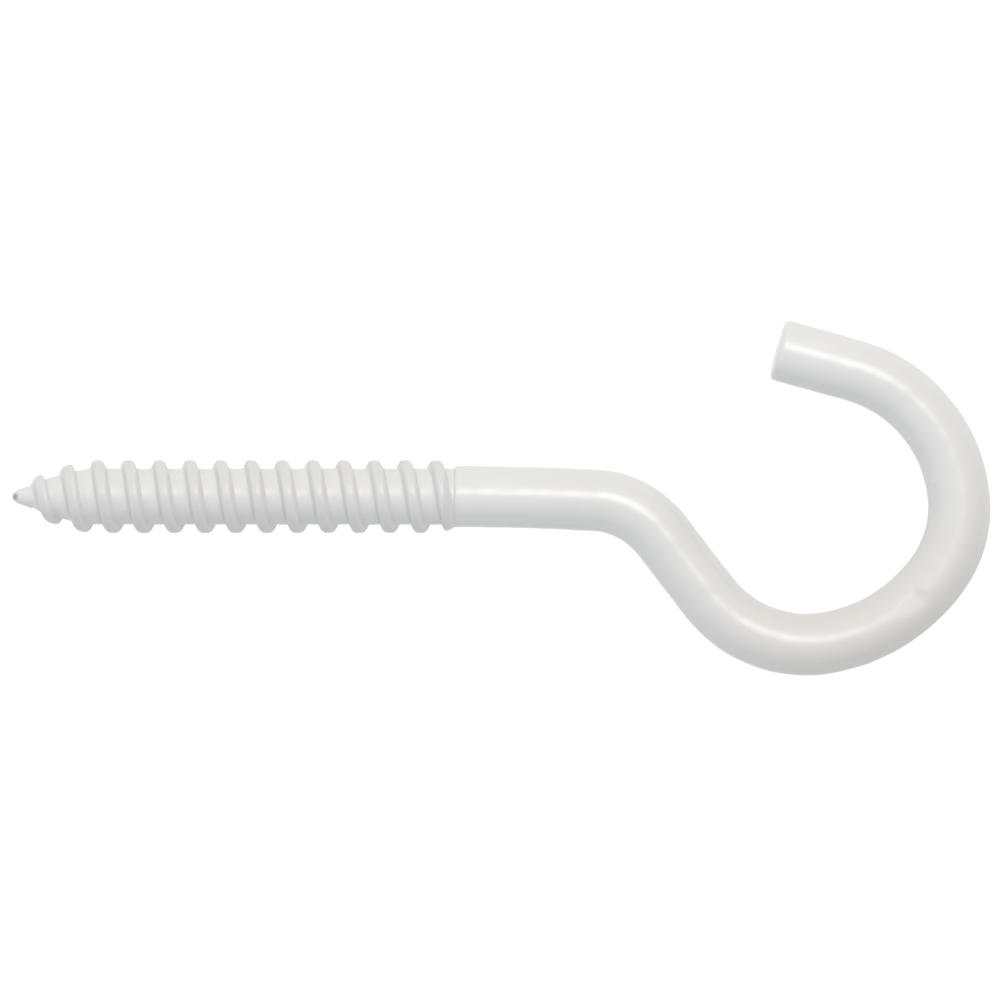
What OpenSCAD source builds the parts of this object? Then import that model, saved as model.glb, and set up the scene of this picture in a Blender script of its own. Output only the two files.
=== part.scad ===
// Screw hook: one length of steel wire with a wood thread rolled on one end and
// an open hook bent in the other, coated white all over. It lies on its side. +X
// runs along the screw towards the hook, the hook bends in the XY plane, and the
// origin is on the screw's axis, where the thread meets the plain shank.

/* [Wire] */
// Diameter of the plain wire over its coat
wire_d = 5.03; // [4:0.01:7]
// Extra diameter of the tight bends, where the wire swelled
bend_swell = 0.08; // [0.06:0.01:0.3]
// Extra diameter of the free end, which spread when it was cut off
lip_swell = 0.06; // [0.06:0.01:0.3]

/* [Thread] */
// Length of the thread with its point, from the tip to the plain shank
thread_len = 36.4; // [20:0.1:60]
// Advance of the thread in one turn
pitch = 2.52; // [1.8:0.02:4]
// Height of the crests above the plain wire
crest_rise = 0.48; // [0.2:0.02:1]
// Depth of the roots below the plain wire
root_depth = 0.22; // [0.1:0.02:0.6]
// Width of the ridge at its foot
ridge_w = 1.3; // [0.8:0.05:1.6]
// Width of the ridge across the shoulders of its rounded crest
crest_w = 0.85; // [0.2:0.05:1]
// Height of those shoulders, as a share of the ridge's height
shoulder_share = 0.82; // [0.5:0.02:0.96]
// Length over which the last turn sinks into the shank
fade_len = 1; // [0.5:0.1:5]
// Angle round the screw at which the thread starts
start_angle = 259; // [0:1:359]

/* [Gimlet point] */
// Length of the blunt nub at the tip
nub_len = 1.9; // [1:0.1:4]
// Diameter of the nub where the cone starts
nub_d = 1.96; // [1:0.02:3]
// Shape of the nub, from a blunt end at 0.3 to a round one at 0.5
nub_power = 0.4; // [0.3:0.05:0.5]
// Length of the tapered point with its nub
point_len = 6.3; // [5:0.1:12]
// Shape of the taper, from a full one at 0.5 to a straight cone at 1
point_power = 0.65; // [0.5:0.05:1]
// Length of the bare tip, before the ridge begins
bare_tip = 1.3; // [0.2:0.1:2]
// Length over which the ridge grows to its full height
growth_len = 0.6; // [0.4:0.1:6]

/* [Shank and neck] */
// Length of the plain shank
shank_len = 11.4; // [5:0.1:40]
// Angle by which the shank leans over its length, on the way to the neck
shank_lean = 3; // [1:0.5:8]
// Radius of the neck's bend, at the middle of the wire
neck_r = 7.4; // [5:0.1:15]
// Angle of the neck's bend
neck_angle = 49.5; // [20:0.5:70]
// Length of the straight ramp from the neck to the hook
ramp_len = 6.3; // [1:0.1:20]

/* [Hook] */
// Radius of the hook's back, where the ramp turns round
back_r = 10.1; // [6:0.1:20]
// Angle of the back
back_angle = 62; // [30:0.5:80]
// Radius of the flatter flank that follows
flank_r = 14.1; // [6:0.1:25]
// Angle of the flank
flank_angle = 46; // [10:0.5:60]
// Radius of the bowl, where the load hangs
bowl_r = 9; // [6:0.1:20]
// Angle of the bowl
bowl_angle = 37; // [20:0.5:80]
// Radius of the return towards the mouth
return_r = 11.9; // [6:0.1:25]
// Angle of the return
return_angle = 72; // [10:0.5:90]
// Length of the straight lip at the free end
lip_len = 6.4; // [1.5:0.1:15]
// Radius of the rounded rim at the free end
rim_r = 0.4; // [0.1:0.05:1]

/* [Hidden] */
$fn = 96;
coat_white = [0.91, 0.91, 0.89];

bend_d = wire_d + bend_swell;
lip_d = wire_d + lip_swell;
root_r = wire_d / 2 - root_depth;
ridge_h = crest_rise + root_depth;

// Facets in one turn of the thread
turn_steps = 36;
// Turns after which the thread runs at its full pitch: they open out from the tip
opening_turns = 2;
// Part of a turn, out from the tip's centre, at which the first facets start
first_turn = 0.25;
// Depth of the ridge's crest below the wire's skin, where it meets the shank
sink_depth = 0.06;
buried_share = (root_depth - sink_depth) / ridge_h;
// Length of the thread's core that is sunk in the shank
seat_len = 0.5;
// Length by which a run of wire reaches into a thicker neighbour
joint_reach = 0.2;

// The ridge's section as distance along the screw and share of its height
ridge = [
    [0, 0],
    [(ridge_w - crest_w) / 2, shoulder_share],
    [ridge_w / 2, 1],
    [(ridge_w + crest_w) / 2, shoulder_share],
    [ridge_w, 0]
];
rows = len(ridge);
thread_turns = (thread_len + seat_len) / pitch + opening_turns / 2;
last_step = ceil(turn_steps * (thread_turns - first_turn));

// The wire after the thread, run by run: its diameter, then the length of a straight, or
// the radius and angle of a bend, where a positive angle turns towards +Y
runs = [
    [wire_d, shank_len / radians(shank_lean), -shank_lean],
    [bend_d, neck_r, -neck_angle],
    [wire_d, ramp_len],
    [bend_d, back_r, back_angle],
    [wire_d, flank_r, flank_angle],
    [bend_d, bowl_r, bowl_angle],
    [wire_d, return_r, return_angle],
    [lip_d, lip_len]
];

function unit(value) = max(0, min(1, value));

function radians(angle) = angle * PI / 180;

// Angle that a length takes up on a bend
function angle_of(length, radius) = length / radius / radians(1);

// Distance from the tip after a number of turns
function along(turns) =
    turns < opening_turns
        ? pitch * turns * turns / (2 * opening_turns)
        : pitch * (turns - opening_turns / 2);

// Radius of the screw's core at a distance from the tip: the nub, then the cone
function core_r(x) =
    let (
        nub_r = nub_d / 2,
        nub_share = pow(unit(x / nub_len), nub_power),
        cone_share = pow(unit((x - nub_len) / (point_len - nub_len)), point_power)
    )
    nub_r * nub_share + (root_r - nub_r) * cone_share;

// Share of the ridge's full height at a distance from the tip: it grows from the
// bare tip, and sinks into the shank at the other end
function ridge_share(x) =
    unit((x - bare_tip) / growth_len)
    * unit(buried_share + (1 - buried_share) * (thread_len - x) / fade_len);

// Point of the thread's surface, by step round the screw and row across the ridge
function thread_point(step, row) =
    let (
        x = along(first_turn + step / turn_steps + ridge[row].x / pitch),
        r = core_r(x) + ridge_h * ridge_share(x) * ridge[row].y,
        angle = start_angle + 360 * step / turn_steps
    )
    [x - thread_len, r * cos(angle), r * sin(angle)];

// Number of that point in the list: the row past a turn's last is the next turn's first
function point_at(step, row) =
    row == rows ? point_at(step + turn_steps, 0)
    : step <= last_step ? step * rows + row
    : (last_step + 1) * rows + step - last_step - 1;

// Length by which a run reaches into the run before it (-1) or after it (1)
function reach(index, side) =
    let (neighbour = runs[index + side])
    neighbour != undef && neighbour[0] > runs[index][0] ? joint_reach : 0;

// The screw with its point: a helical skin, closed at the tip and inside the shank
module thread() {
    skin_points = [
        for (step = [0 : last_step], row = [0 : rows - 1]) thread_point(step, row)
    ];
    edge_points = [
        for (step = [last_step + 1 : last_step + turn_steps]) thread_point(step, 0)
    ];
    tip = len(skin_points) + len(edge_points);
    seat = tip + 1;
    seat_x = edge_points[turn_steps - 1].x;

    skin = [
        for (step = [0 : last_step - 1], row = [0 : rows - 1])
            each [
                [point_at(step, row), point_at(step, row + 1), point_at(step + 1, row + 1)],
                [point_at(step, row), point_at(step + 1, row + 1), point_at(step + 1, row)]
            ]
    ];
    tip_cap = [
        for (step = [0 : turn_steps - 1]) [point_at(step, 0), point_at(step + 1, 0), tip],
        for (row = [0 : rows - 1]) [point_at(0, row + 1), point_at(0, row), tip]
    ];
    seat_cap = [
        for (step = [last_step - turn_steps : last_step - 1])
            [point_at(step + 1, rows), point_at(step, rows), seat],
        for (row = [0 : rows - 1]) [point_at(last_step, row), point_at(last_step, row + 1), seat]
    ];
    polyhedron(
        points = concat(skin_points, edge_points, [[-thread_len, 0, 0], [seat_x, 0, 0]]),
        faces = concat(skin, tip_cap, seat_cap)
    );
}

// Straight wire along +X
module straight_wire(diameter, length, before, after) {
    translate([-before, 0, 0])
        rotate([0, 90, 0])
            cylinder(d = diameter, h = before + length + after);
}

// Wire that starts along +X and bends through an angle
module bent_wire(diameter, radius, angle, before, after) {
    angle_before = angle_of(before, radius);
    angle_after = angle_of(after, radius);
    translate([0, sign(angle) * radius, 0])
        rotate_extrude(
            angle = angle_before + abs(angle) + angle_after,
            start = angle > 0 ? -90 - angle_before : 90 + angle - angle_after
        )
            translate([radius, 0])
                circle(d = diameter);
}

// Straight wire along +X whose far end is cut square and has a rounded rim
module lip(diameter, length, before) {
    whole = before + length;
    translate([-before, 0, 0])
        rotate([0, 90, 0])
            rotate_extrude() {
                square([diameter / 2 - rim_r, whole]);
                square([diameter / 2, whole - rim_r]);
                translate([diameter / 2 - rim_r, whole - rim_r])
                    circle(rim_r);
            }
}

// Moves what follows a bend to the bend's far end
module after_bend(radius, angle) {
    side = sign(angle) * radius;
    translate([0, side, 0])
        rotate([0, 0, angle])
            translate([0, -side, 0])
                children();
}

// The wire from one run to its free end, each run starting where the last one stops
module wire_from(index) {
    run = runs[index];
    before = reach(index, -1);
    after = reach(index, 1);
    if (index == len(runs) - 1) {
        lip(run[0], run[1], before);
    } else if (len(run) == 3) {
        bent_wire(run[0], run[1], run[2], before, after);
        after_bend(run[1], run[2])
            wire_from(index + 1);
    } else {
        straight_wire(run[0], run[1], before, after);
        translate([run[1], 0, 0])
            wire_from(index + 1);
    }
}

// The whole hook, one piece from the tip to the free end
module screw_hook() {
    color(coat_white)
        union() {
            thread();
            wire_from(0);
        }
}

screw_hook();
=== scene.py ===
# %% [markdown]
# # A white screw hook
#
# The real hook is one length of steel wire. A wood thread with a gimlet point is rolled into one end,
# the other end is bent round into an open hook, and the finished piece gets a coat of white gloss.
#
# The CAD part holds the sizes. This lesson makes the same hook again as one fine skin, because a coat
# changes the way metal looks: it rounds the thread, pools in the roots, and gives the wire a soft
# gloss with a few flaws. All coordinates are metres in the CAD part's own frame, so nothing has to be
# fitted later.

import math

import bpy
import numpy as np
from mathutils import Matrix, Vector


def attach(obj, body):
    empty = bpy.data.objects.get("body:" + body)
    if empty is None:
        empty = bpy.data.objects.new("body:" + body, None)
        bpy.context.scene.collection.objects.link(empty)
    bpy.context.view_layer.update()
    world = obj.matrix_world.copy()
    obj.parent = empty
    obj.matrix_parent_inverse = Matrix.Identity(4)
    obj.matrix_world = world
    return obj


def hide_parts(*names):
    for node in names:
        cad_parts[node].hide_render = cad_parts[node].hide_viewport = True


MM = 0.001
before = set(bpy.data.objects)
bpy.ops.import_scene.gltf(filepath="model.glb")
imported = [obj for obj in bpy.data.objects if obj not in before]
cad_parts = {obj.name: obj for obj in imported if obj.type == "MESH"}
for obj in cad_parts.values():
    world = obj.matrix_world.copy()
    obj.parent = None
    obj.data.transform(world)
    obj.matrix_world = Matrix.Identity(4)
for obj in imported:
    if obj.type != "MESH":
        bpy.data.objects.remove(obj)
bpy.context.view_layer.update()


print("CAD nodes:", list(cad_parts))

# %% [markdown]
# ## The bent wire
#
# A bending machine works from a list: so much straight, then a bend of this radius and angle, and so on.
# The same list gives the middle line of the wire here. A curve object with a round bevel could sweep
# the wire, but the thread would then be a second mesh to weld on. Points that are placed by their
# distance along the wire let a single skin run from the tip of the screw to the free end.
#
# Cold bending also swells the wire a little in the tight bends, and the cutter spreads the free end.

# %% List the runs of the wire
PLAIN_D = 5.03  # diameters over the coat, in mm
TIGHT_D = 5.11
LIP_D = 5.09


def straight(name, length, diameter):
    return {"name": name, "length": length, "turn": 0.0, "diameter": diameter}


def bend(name, radius, angle, diameter):
    turn = math.radians(angle)
    return {"name": name, "length": radius * abs(turn), "turn": turn, "diameter": diameter}


wire_runs = [
    bend("shank", 217.7, -3, PLAIN_D),
    bend("neck", 7.4, -49.5, TIGHT_D),
    straight("ramp", 6.3, PLAIN_D),
    bend("back", 10.1, 62, TIGHT_D),
    bend("flank", 14.1, 46, PLAIN_D),
    bend("bowl", 9, 37, TIGHT_D),
    bend("return", 11.9, 72, PLAIN_D),
    straight("lip", 6.4, LIP_D),
]
run_lengths = np.array([run["length"] for run in wire_runs])
run_ends = np.cumsum(run_lengths)
run_middles = run_ends - run_lengths / 2
end_of = {run["name"]: end for run, end in zip(wire_runs, run_ends)}
wire_len = end_of["lip"]
print(f"Wire after the thread: {wire_len:.1f} mm in {len(wire_runs)} runs")

# %% [markdown]
# ## Where the wire goes
#
# Distances are counted from the shoulder, where the thread meets the plain shank. Behind it, at negative
# distances, the screw lies along the X axis. Ahead of it, each run starts where the last one stopped.
# A complex number holds x and y in one value, and multiplying by `exp(1j * angle)` turns it, which
# keeps the geometry of an arc down to its chord: the chord points halfway through the turn.

# %% Follow the middle line
def middle_line(distance):
    """Middle points of the wire as complex numbers in mm, and headings in radians."""
    point = distance + 0j
    heading = np.zeros_like(distance)
    start, start_heading, passed = 0j, 0.0, 0.0
    for run in wire_runs:
        along = np.clip(distance - passed, 0, run["length"])
        turned = run["turn"] * along / run["length"]
        chord = along * np.sinc(turned / (2 * np.pi))
        reached = distance > passed
        point = np.where(reached, start + chord * np.exp(1j * (start_heading + turned / 2)), point)
        heading = np.where(reached, start_heading + turned, heading)
        whole_chord = run["length"] * np.sinc(run["turn"] / (2 * np.pi))
        start += whole_chord * np.exp(1j * (start_heading + run["turn"] / 2))
        start_heading += run["turn"]
        passed += run["length"]
    return point, heading


def wire_radius(distance):
    """Radius of the plain wire in mm: it swells and thins gradually from run to run."""
    return np.interp(distance, run_middles, [run["diameter"] / 2 for run in wire_runs])


free_end, free_heading = middle_line(np.array([wire_len]))
print(f"Free end at {free_end[0]:.2f} mm, heading {math.degrees(free_heading[0]):.0f} degrees")

# %% [markdown]
# ## The wood thread
#
# A rolled thread is a ridge that winds round a core. A screw modifier could wind a profile, but a gimlet
# point needs more: the core narrows to a nose, the turns crowd together towards the tip, the ridge
# grows out of nothing, and at the other end it sinks into the shank. All of that is easy to say as one
# radius for each place on the skin. First comes the place: how many turns lie between it and the tip,
# and how far it is from the nearest crest.

# %% Find the crest that is nearest to a place
THREAD_LEN = 36.4
PITCH = 2.52
OPENING_TURNS = 2  # the turns open out over this many, from the tip
CREST_ANGLE = 76  # whole turns put a crest here, in degrees from +Y towards +Z


def turns_from_tip(x):
    opening = np.sqrt(2 * OPENING_TURNS * np.maximum(x, 0) / PITCH)
    return np.where(opening < OPENING_TURNS, opening, x / PITCH + OPENING_TURNS / 2)


def beside_crest(x, angle):
    """Distance along the screw, in mm of full pitch, from the nearest crest."""
    turn = turns_from_tip(x) - (angle - CREST_ANGLE) / 360
    return PITCH * (turn - np.round(turn))


top_crest = -beside_crest(np.array([THREAD_LEN]), np.array([0.0]))[0]
print(f"Crests on the +Y side lie at {top_crest:.2f} mm and every {PITCH} mm from there")

# %% [markdown]
# ## The ridge and the point
#
# A rolled ridge is full at its crest and steep at its sides. One minus a fourth power has that section:
# flat and round on top, then falling fast. Wet paint gathers along the foot of a ridge, so a low bump
# there rounds the corner. The gimlet point is two power curves, one after the other: a blunt nub as
# thick as a pencil lead, then a full cone. The ridge rises steeply where the nub ends, and reaches its
# full height little more than a turn later. At the other end it sinks into the shank within a
# millimetre, and the shoulder is a short smooth step.

# %% Give the screw its radius
ROOT_R = 2.295  # these radii, heights, widths and lengths are in mm
RIDGE_H = 0.7
RIDGE_HALF_W, RIDGE_POWER = 0.65, 4
POOL_H, POOL_W = 0.04, 0.16  # the paint along the ridge's foot
NUB_LEN, NUB_R, NUB_POWER = 1.9, 0.98, 0.4
POINT_LEN, POINT_POWER = 6.3, 0.65
GROWTH_PLACES, GROWTH_SHARES = [1.3, 1.9, 5], [0, 0.8, 1]  # from the tip, and of the ridge's height
FADE_LEN, BURIED_SHARE = 1.0, 0.23  # the ridge's height falls to this share at the shank


def smooth_step(value):
    share = np.clip(value, 0, 1)
    return share * share * (3 - 2 * share)


def ridge_share(x):
    growth = np.interp(x, GROWTH_PLACES, GROWTH_SHARES)
    fade = np.clip(BURIED_SHARE + (1 - BURIED_SHARE) * (THREAD_LEN - x) / FADE_LEN, 0, 1)
    return growth * fade


def screw_radius(x, angle):
    nub = NUB_R * np.clip(x / NUB_LEN, 0, 1) ** NUB_POWER
    cone = np.clip((x - NUB_LEN) / (POINT_LEN - NUB_LEN), 0, 1) ** POINT_POWER
    core = nub + (ROOT_R - NUB_R) * cone
    beside = np.abs(beside_crest(x, angle))
    ridge = RIDGE_H * (1 - np.clip(beside / RIDGE_HALF_W, 0, 1) ** RIDGE_POWER)
    pool = POOL_H * np.exp(-(((beside - RIDGE_HALF_W) / POOL_W) ** 2))
    return core + ridge_share(x) * (ridge + pool)


SAMPLES = 200
one_turn = THREAD_LEN / 2 + np.linspace(0, PITCH, SAMPLES)
thread_d = 2 * screw_radius(one_turn, 0.0)
print(f"Thread: {thread_d.min():.2f} mm at the roots, {thread_d.max():.2f} mm over the crests")

# %% [markdown]
# ## Flaws that tell it is real
#
# A coat is never quite even, and gloss shows it: the highlight on the wire wanders a little. Long,
# shallow waves in the film do that, a hundredth of a millimetre high. Where the flank nears the bowl,
# the bending pin has pressed a small flat into the wire. It slopes in along nearly three millimetres,
# stops at a short step, and breaks the highlight. Both are real shape here, and the finer orange peel
# is left to the material.
#
# A flat is a plane, so away from its middle its distance from the wire's axis grows as one over the
# cosine. Where that is less than the wire's own radius, the wire is cut down to it. `logaddexp` picks
# the smaller of two values with a rounded corner, as the coat rounds the edges of the flat.

# %% Shape the film and the press mark
WAVE_SPAN = 10  # mm of wire on which the waves are counted
FILM_WAVES = [  # height in mm, waves in that span, waves round the wire, phase
    (0.006, 1.7, 1, 0.4),
    (0.005, 2.9, 2, 2.1),
    (0.004, 4.3, 3, 4.0),
    (0.003, 6.1, 1, 5.2),
]
PRESS_DEPTH = 0.15
PRESS_ANGLE = 88  # of its middle, in degrees round the wire from the left of the heading
PRESS_REACH = 75  # degrees either side, where the plane is well clear of the wire
PRESS_PLACES = end_of["flank"] - np.array([5.6, 4.5, 2.8, 2.15])
PRESS_SHARES = [0, 0.55, 1, 0]  # of its depth, at those places
PRESS_SOFT = 0.02  # rounding of its edges, in mm


def film_height(distance, angle):
    around = np.radians(angle)
    return sum(
        height * np.sin(2 * np.pi * waves * distance / WAVE_SPAN + lobes * around + phase)
        for height, waves, lobes, phase in FILM_WAVES
    )


def pressed(radius, distance, angle):
    """The radius, cut down to the flat where that lies lower."""
    depth = PRESS_DEPTH * np.interp(distance, PRESS_PLACES, PRESS_SHARES)
    lean = np.radians(np.clip(angle - PRESS_ANGLE, -PRESS_REACH, PRESS_REACH))
    flat = (wire_radius(distance) - depth) / np.cos(lean)
    cut = -PRESS_SOFT * np.logaddexp(-radius / PRESS_SOFT, -flat / PRESS_SOFT)
    return np.where(depth > 0, cut, radius)


print(f"Film uneven by up to {sum(wave[0] for wave in FILM_WAVES):.3f} mm either way")

# %% [markdown]
# ## Rings for the skin
#
# The skin is a stack of rings round the middle line. They stand close where the shape changes fast: at
# the nose, along the thread, and round the rim of the free end. Along the plain wire they can be
# further apart. The last rings close in over the cut face of the free end.

# %% Choose where the rings stand
SIDES = 80
NOSE_LEN, NOSE_RINGS, NOSE_CROWDING = 1.2, 20, 1.7  # a power above 1 crowds the rings at the tip
THREAD_STEP, THREAD_RINGS_END = 0.05, 0.5  # the close rings go on a little past the shoulder
WIRE_RINGS = 300
RIM_R, RIM_RINGS = 0.4, 9
FACE_SHARES = np.array([0.75, 0.5, 0.25])  # of the radius inside the rim

nose = NOSE_LEN * (np.arange(1, NOSE_RINGS + 1) / NOSE_RINGS) ** NOSE_CROWDING - THREAD_LEN
thread = np.arange(nose[-1] + THREAD_STEP, THREAD_RINGS_END, THREAD_STEP)
wire = np.linspace(THREAD_RINGS_END + THREAD_STEP, wire_len - RIM_R, WIRE_RINGS)
round_rim = np.radians(np.linspace(0, 90, RIM_RINGS + 1)[1:])
rim = wire_len - RIM_R + RIM_R * np.sin(round_rim)
face = np.full(len(FACE_SHARES), wire_len)

station = np.concatenate([nose, thread, wire, rim, face])
angle = np.arange(SIDES) * 360 / SIDES
print(f"{len(station)} rings of {SIDES} points")

# %% Work out the radius of every ring
SHOULDER_LEN = 0.16
CALM_LEN = 8  # the film's waves rise to their full height over this length from the tip
along = station[:, None]
around = angle[None, :]
x_from_tip = along + THREAD_LEN

screw_r = screw_radius(x_from_tip, around)
wire_r = wire_radius(along)
shoulder = smooth_step((along + SHOULDER_LEN) / SHOULDER_LEN)
radius = screw_r + shoulder * (np.maximum(wire_r, screw_r) - screw_r)
radius = np.where(along > 0, wire_r, radius)

lip_r = LIP_D / 2
radius[-len(rim) - len(face):-len(face)] = lip_r - RIM_R * (1 - np.cos(round_rim))[:, None]
radius[-len(face):] = (lip_r - RIM_R) * FACE_SHARES[:, None]

wavy_share = smooth_step(x_from_tip / CALM_LEN) * (along < wire_len - RIM_R)
radius = pressed(radius + wavy_share * film_height(along, around), along, around)
print(f"Radius from {radius.min():.2f} to {radius.max():.2f} mm")

# %% [markdown]
# ## One closed skin
#
# Every ring stands square to the wire: one of its axes is the direction to the left of the heading, and
# the other is straight up. Joining each ring to the next with quads, and closing both ends with fans of
# triangles, gives a watertight mesh. `from_pydata` takes plain lists of points and faces, so the order
# of the corners decides which way a face looks: here it is always outwards.

# %% Place the points
middle, heading = middle_line(station)
left = 1j * np.exp(1j * heading)
in_plane = middle[:, None] + radius * np.cos(np.radians(around)) * left[:, None]
height = radius * np.sin(np.radians(around))
ring_points = np.stack([in_plane.real, in_plane.imag, height], axis=2).reshape(-1, 3)
tip_point = [-THREAD_LEN, 0, 0]
end_point = [free_end[0].real, free_end[0].imag, 0]
points = np.vstack([ring_points, tip_point, end_point]) * MM
print(f"{len(points)} points, the lowest at {points[:, 2].min() / MM:.2f} mm")

# %% Join them into a mesh
tip_index, end_index = len(points) - 2, len(points) - 1
last_ring = (len(station) - 1) * SIDES
side = np.arange(SIDES)
next_side = (side + 1) % SIDES
faces = []
for start in range(0, last_ring, SIDES):
    ahead = start + SIDES
    faces += np.stack([start + side, start + next_side, ahead + next_side, ahead + side], 1).tolist()
edges = list(zip(side.tolist(), next_side.tolist()))
faces += [[tip_index, after, before] for before, after in edges]
faces += [[end_index, last_ring + before, last_ring + after] for before, after in edges]

skin = bpy.data.meshes.new("coated_hook")
skin.from_pydata(points.tolist(), [], faces)
skin.shade_smooth()
hook = bpy.data.objects.new("coated_hook", skin)
bpy.context.scene.collection.objects.link(hook)
print(f"Skin of {sum(len(corners) - 2 for corners in faces)} triangles")

# %% [markdown]
# ## Where the coat is thin, tinted or dull, and where shade is painted
#
# Wet paint runs off a ridge, so over the thread's crests the film is thin and the steel greys it. A line
# of painted shade darkens the corner on the side of each ridge that faces the tip, and a spot of painted
# shade greys the very tip. Round the start of the flank the coat is a little darker and warmer. Over the
# thread the coat dries duller, and what is hung on the hook rubs the bowl dull, and the lip a little.
# The material needs to know these places, so each is kept as a named value on every point of the mesh.

# %% Mark the thread and the tip
def mark(name, values):
    """Keep a value for each ring point; the tip and the middle of the cut face take their ring's."""
    values = np.broadcast_to(values, radius.shape).reshape(-1)
    ends = [values[0], values[-1]]
    layer = skin.attributes.new(name, "FLOAT", "POINT")
    layer.data.foreach_set("value", np.concatenate([values, ends]).astype(np.float32))
    print(f"{name}: {values.min():.2f} to {values.max():.2f}, mean {values.mean():.3f}")


GREY_HALF_W = 0.7  # in mm from the crest
CORNER_SHADE_AT, CORNER_SHADE_W = -0.42, 0.14  # the painted shade's place and width, in mm beside the crest
TIP_SHADE_AT, TIP_SHADE_W = 0.3, 0.45  # the painted shade spot's place, in mm from the tip, and its reach
on_thread = ridge_share(x_from_tip) * (along < 0)
beside = beside_crest(x_from_tip, around)
thin = on_thread * smooth_step(1 - np.abs(beside) / GREY_HALF_W)
# painted shade: a dark line in the corner at each ridge's foot, on the side that faces the tip
corner_shade = on_thread * np.exp(-(((beside - CORNER_SHADE_AT) / CORNER_SHADE_W) ** 2))
# painted shade: a grey spot on top of the nub, near the very tip
tip_shade_spot = [TIP_SHADE_AT - THREAD_LEN, 0, NUB_R * (TIP_SHADE_AT / NUB_LEN) ** NUB_POWER]
tip_shade_share = smooth_step(1 - np.linalg.norm(ring_points - tip_shade_spot, axis=1) / TIP_SHADE_W)
mark("thin_film", thin)
mark("corner_shade", corner_shade)
mark("tip_shade", tip_shade_share.reshape(radius.shape))

# %% Mark where the coat is tinted and rubbed
FLANK_TINT_AT = end_of["back"] + 3  # the middle of the darker, warmer tint, on the flank
THREAD_DULL, LIP_DULL = 0.8, 0.3
LIP_RUB_LEN = 2  # the lip's dullness grows over this length, in mm


def about(centre):
    """1 at a distance along the wire, falling to 0 towards both ends of it."""
    before, after = along / centre, (wire_len - along) / (wire_len - centre)
    return (smooth_step(before) * smooth_step(after)) ** 2


bowl_rub = about(end_of["flank"]) ** 2
lip_rub = LIP_DULL * smooth_step((along - end_of["return"]) / LIP_RUB_LEN)
mark("flank_tint", about(FLANK_TINT_AT))
mark("dullness", THREAD_DULL * (along < 0) + bowl_rub + lip_rub)

# %% [markdown]
# ## White gloss
#
# White paint is a clear, shiny binder over a bright scattering layer. One Principled shader does both:
# its base colour scatters and its specular layer shines. The pigment makes paint shine a little more
# than clear varnish does, so the index of refraction is on the high side. A single flat white would
# look like plastic foam, so the colour drifts by a few hundredths, the roughness varies, and a bump
# gives the orange peel that paint keeps as it dries. The marks on the points tint it where the film is
# thin and round the flank, paint shade into the thread's corners and onto the tip, and dull it in
# places.

# %% Start the coat's material
COAT_IOR = 1.66
NOISE_LOW, NOISE_HIGH = 0.3, 0.7  # most of the noise lies between these
coat = bpy.data.materials.new("white_gloss_coat")
coat.use_nodes = True
nodes, links = coat.node_tree.nodes, coat.node_tree.links
paint = nodes["Principled BSDF"]
paint.inputs["IOR"].default_value = COAT_IOR
place = nodes.new("ShaderNodeTexCoord").outputs["Object"]


def noise(grain_mm, detail):
    """Noise whose grains are about so many mm across."""
    node = nodes.new("ShaderNodeTexNoise")
    node.inputs["Scale"].default_value = 1 / (grain_mm * MM)
    node.inputs["Detail"].default_value = detail
    links.new(place, node.inputs["Vector"])
    return node.outputs["Fac"]


def spread(grains, low, high):
    """The noise stretched from its usual range to another."""
    node = nodes.new("ShaderNodeMapRange")
    node.inputs["From Min"].default_value = NOISE_LOW
    node.inputs["From Max"].default_value = NOISE_HIGH
    node.inputs["To Min"].default_value = low
    node.inputs["To Max"].default_value = high
    links.new(grains, node.inputs["Value"])
    return node.outputs["Result"]


print("Started", coat.name)

# %% Mix the coat's colour
FRESH_WHITE = (0.80, 0.80, 0.79, 1)
CLOUDY_WHITE = (0.775, 0.772, 0.759, 1)
THIN_WHITE = (0.715, 0.715, 0.71, 1)
# painted shade in the corners of the thread
CORNER_SHADE_WHITE = (0.68, 0.68, 0.67, 1)
# a little darker and warmer, round the start of the flank
FLANK_TINT_WHITE = (0.735, 0.717, 0.69, 1)
# painted shade at the very tip
TIP_SHADE_GREY = (0.3, 0.3, 0.3, 1)
CLOUD_MM, CLOUD_DETAIL = 6, 3


def colour_socket(sockets, name):
    """A Mix node has a socket of the same name for each kind of value: this is the one for colours."""
    return next(socket for socket in sockets if socket.name == name and socket.type == "RGBA")


def tinted(colour, tint, amount):
    """A colour, or a socket that carries one, taken towards a tint by a socket from 0 to 1."""
    node = nodes.new("ShaderNodeMix")
    node.data_type = "RGBA"
    links.new(amount, node.inputs["Factor"])
    colour_socket(node.inputs, "B").default_value = tint
    if isinstance(colour, tuple):
        colour_socket(node.inputs, "A").default_value = colour
    else:
        links.new(colour, colour_socket(node.inputs, "A"))
    return colour_socket(node.outputs, "Result")


def marked(name):
    """The value that a mark left on the points."""
    node = nodes.new("ShaderNodeAttribute")
    node.attribute_name = name
    return node.outputs["Fac"]


colour = tinted(FRESH_WHITE, CLOUDY_WHITE, spread(noise(CLOUD_MM, CLOUD_DETAIL), 0, 1))
colour = tinted(colour, THIN_WHITE, marked("thin_film"))
# painted shade in the thread's corners
colour = tinted(colour, CORNER_SHADE_WHITE, marked("corner_shade"))
colour = tinted(colour, FLANK_TINT_WHITE, marked("flank_tint"))
# painted shade at the very tip
colour = tinted(colour, TIP_SHADE_GREY, marked("tip_shade"))
links.new(colour, paint.inputs["Base Color"])
print("Colours from", FRESH_WHITE[:3], "to", TIP_SHADE_GREY[:3])

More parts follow.
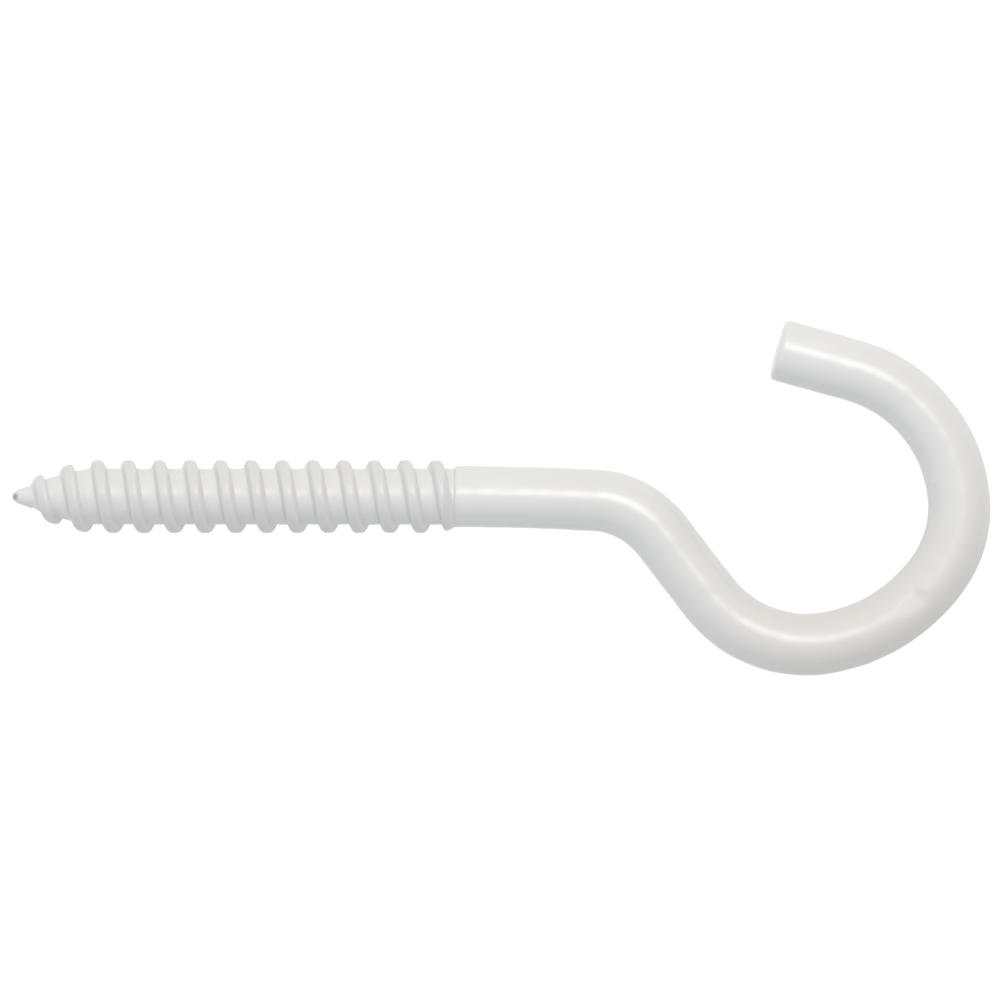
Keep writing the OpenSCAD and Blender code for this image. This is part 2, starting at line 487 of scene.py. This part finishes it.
# %% Give the coat its gloss and orange peel
GLOSS_MM, GLOSS_DETAIL = 2.5, 4
LOW_ROUGHNESS, HIGH_ROUGHNESS = 0.28, 0.3
DULL_ROUGHNESS = 0.1  # added where the coat is dull
PEEL_MM, PEEL_DETAIL = 0.7, 2
PEEL_HEIGHT, PEEL_STRENGTH = 0.012, 0.5
gloss = spread(noise(GLOSS_MM, GLOSS_DETAIL), LOW_ROUGHNESS, HIGH_ROUGHNESS)
dulled = nodes.new("ShaderNodeMath")
dulled.operation = "MULTIPLY_ADD"
dulled.inputs[1].default_value = DULL_ROUGHNESS
links.new(marked("dullness"), dulled.inputs[0])
links.new(gloss, dulled.inputs[2])
links.new(dulled.outputs[0], paint.inputs["Roughness"])
peel = nodes.new("ShaderNodeBump")
peel.inputs["Strength"].default_value = PEEL_STRENGTH
peel.inputs["Distance"].default_value = PEEL_HEIGHT * MM
links.new(noise(PEEL_MM, PEEL_DETAIL), peel.inputs["Height"])
links.new(peel.outputs["Normal"], paint.inputs["Normal"])
skin.materials.append(coat)
print(f"Coat: {len(nodes)} nodes, orange peel about {PEEL_MM} mm across")

# %% [markdown]
# ## A white floor that keeps the shadow
#
# The hook lies on its side on a plain white table. The rays that the camera sends out, and those that
# mirror in the gloss, should meet a clean white, and light that bounces about should meet an ordinary
# matt surface. The Light Path node tells the two apart, so the floor glows for the first kind only.
# Its matt part still darkens under the hook, and that is the shadow.

# %% Lay the floor
FLOOR_SIDE = 4  # in metres
floor_z = points[:, 2].min()
bpy.ops.mesh.primitive_plane_add(size=FLOOR_SIDE, location=(0, 0, floor_z))
floor = bpy.context.object
floor.name = "white_table"
print(f"Floor at {floor_z / MM:.2f} mm")

# %% Paint the floor white
MATT_SHARE = 0.5
SEEN_GLOW = 0.8
table = bpy.data.materials.new("white_table")
table.use_nodes = True
table_nodes, table_links = table.node_tree.nodes, table.node_tree.links
table_nodes.clear()
matt = table_nodes.new("ShaderNodeBsdfDiffuse")
matt.inputs["Color"].default_value = (MATT_SHARE, MATT_SHARE, MATT_SHARE, 1)
glow = table_nodes.new("ShaderNodeEmission")
rays = table_nodes.new("ShaderNodeLightPath").outputs
seen = rays["Is Camera Ray"]
for other in ("Is Glossy Ray", "Is Transmission Ray"):
    either = table_nodes.new("ShaderNodeMath")
    either.operation = "MAXIMUM"
    table_links.new(seen, either.inputs[0])
    table_links.new(rays[other], either.inputs[1])
    seen = either.outputs[0]
strength = table_nodes.new("ShaderNodeMath")
strength.operation = "MULTIPLY"
strength.inputs[1].default_value = SEEN_GLOW
table_links.new(seen, strength.inputs[0])
table_links.new(strength.outputs[0], glow.inputs["Strength"])
both = table_nodes.new("ShaderNodeAddShader")
table_links.new(matt.outputs[0], both.inputs[0])
table_links.new(glow.outputs[0], both.inputs[1])
table_out = table_nodes.new("ShaderNodeOutputMaterial")
table_links.new(both.outputs[0], table_out.inputs["Surface"])
floor.data.materials.append(table)
print(f"Floor that scatters {MATT_SHARE} of its light and glows by {SEEN_GLOW} where it is seen")

# %% [markdown]
# ## Soft light
#
# The hook was lit as small white goods are, in a tent of white cloth: light from all round, more of it
# from the top of the picture than from the bottom, and a soft box above that draws the thin highlight.
# The world is the tent. Two dot products with the direction of a ray shape it: one makes the cloth
# brighter towards the upper left, the other makes it warmer towards the upper right. The soft box is an
# area lamp that leans to the top of the picture, so its reflection lies above the middle of the wire.
# Its size sets how wide the highlight is, and its power follows from how bright its face should look.

# %% Hang the tent
COOL_CLOTH = (0.70, 0.735, 0.78, 1)
WARM_CLOTH = (0.77, 0.735, 0.69, 1)
WARM_SIDE = (0.6, 0.8, 0)
DIM_SHARE, BRIGHT_SHARE = 0.71, 1.29
BRIGHT_SIDE = (-0.55, 0.835, 0)
tent = bpy.data.worlds.new("light_tent")
bpy.context.scene.world = tent
tent.use_nodes = True
tent_nodes, tent_links = tent.node_tree.nodes, tent.node_tree.links
direction = tent_nodes.new("ShaderNodeTexCoord").outputs["Generated"]


def towards(axis, low, high):
    """From low to high as the direction turns from against an axis to along it."""
    dot = tent_nodes.new("ShaderNodeVectorMath")
    dot.operation = "DOT_PRODUCT"
    dot.inputs[1].default_value = axis
    tent_links.new(direction, dot.inputs[0])
    share = tent_nodes.new("ShaderNodeMapRange")
    share.interpolation_type = "SMOOTHSTEP"
    share.inputs["From Min"].default_value = -1
    share.inputs["To Min"].default_value = low
    share.inputs["To Max"].default_value = high
    tent_links.new(dot.outputs["Value"], share.inputs["Value"])
    return share.outputs["Result"]


cloth = tent_nodes.new("ShaderNodeMix")
cloth.data_type = "RGBA"
colour_socket(cloth.inputs, "A").default_value = COOL_CLOTH
colour_socket(cloth.inputs, "B").default_value = WARM_CLOTH
tent_links.new(towards(WARM_SIDE, 0, 1), cloth.inputs["Factor"])
glow_of_tent = tent_nodes["Background"].inputs
tent_links.new(colour_socket(cloth.outputs, "Result"), glow_of_tent["Color"])
tent_links.new(towards(BRIGHT_SIDE, DIM_SHARE, BRIGHT_SHARE), glow_of_tent["Strength"])
print(f"Tent from {DIM_SHARE} to {BRIGHT_SHARE} times as bright as its cloth's colour")

# %% Hang the soft box
LAMP_AWAY = 0.6  # in metres
LAMP_TILT = math.radians(21)
LAMP_TURN = math.radians(-24)
LAMP_WIDE, LAMP_LONG = 0.18, 0.22  # in metres
LAMP_RADIANCE = 7.2
VIEW_X, VIEW_Y = 3.608 * MM, -0.287 * MM  # the middle of the picture
lamp_data = bpy.data.lights.new("soft_box", "AREA")
lamp_data.shape = "RECTANGLE"
lamp_data.size, lamp_data.size_y = LAMP_WIDE, LAMP_LONG
lamp_data.energy = LAMP_RADIANCE * math.pi * LAMP_WIDE * LAMP_LONG
lamp = bpy.data.objects.new("soft_box", lamp_data)
lamp.rotation_euler = (-LAMP_TILT, 0, LAMP_TURN)
over_hook = Vector((VIEW_X, VIEW_Y, 0))
lamp.location = over_hook + lamp.rotation_euler.to_matrix() @ Vector((0, 0, LAMP_AWAY))
lamp.visible_camera = False
bpy.context.scene.collection.objects.link(lamp)
print(f"Lamp of {lamp_data.energy:.2f} W, {LAMP_AWAY} m away")

# %% [markdown]
# ## The camera
#
# The photograph looks straight down on the hook from far enough away that the wire shows no
# perspective. A long lens does the same. The distance follows from the width that the picture takes in.

# %% Set up the camera
PICTURE_W = 82 * MM
LENS, SENSOR = 150, 36  # in mm, as on a real camera
NEAR_CLIP = 10 * MM
camera_data = bpy.data.cameras.new("camera")
camera_data.lens, camera_data.sensor_width = LENS, SENSOR
camera_data.clip_start = NEAR_CLIP
camera = bpy.data.objects.new("camera", camera_data)
camera.location = (VIEW_X, VIEW_Y, PICTURE_W * LENS / SENSOR)
bpy.context.scene.collection.objects.link(camera)
bpy.context.scene.camera = camera
bpy.context.scene.view_settings.view_transform = "Standard"
print(f"Camera {camera.location.z:.3f} m above the hook")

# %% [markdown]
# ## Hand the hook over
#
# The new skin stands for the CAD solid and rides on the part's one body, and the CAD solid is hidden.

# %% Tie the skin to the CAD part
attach(hook, "root")
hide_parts("screw_hook")
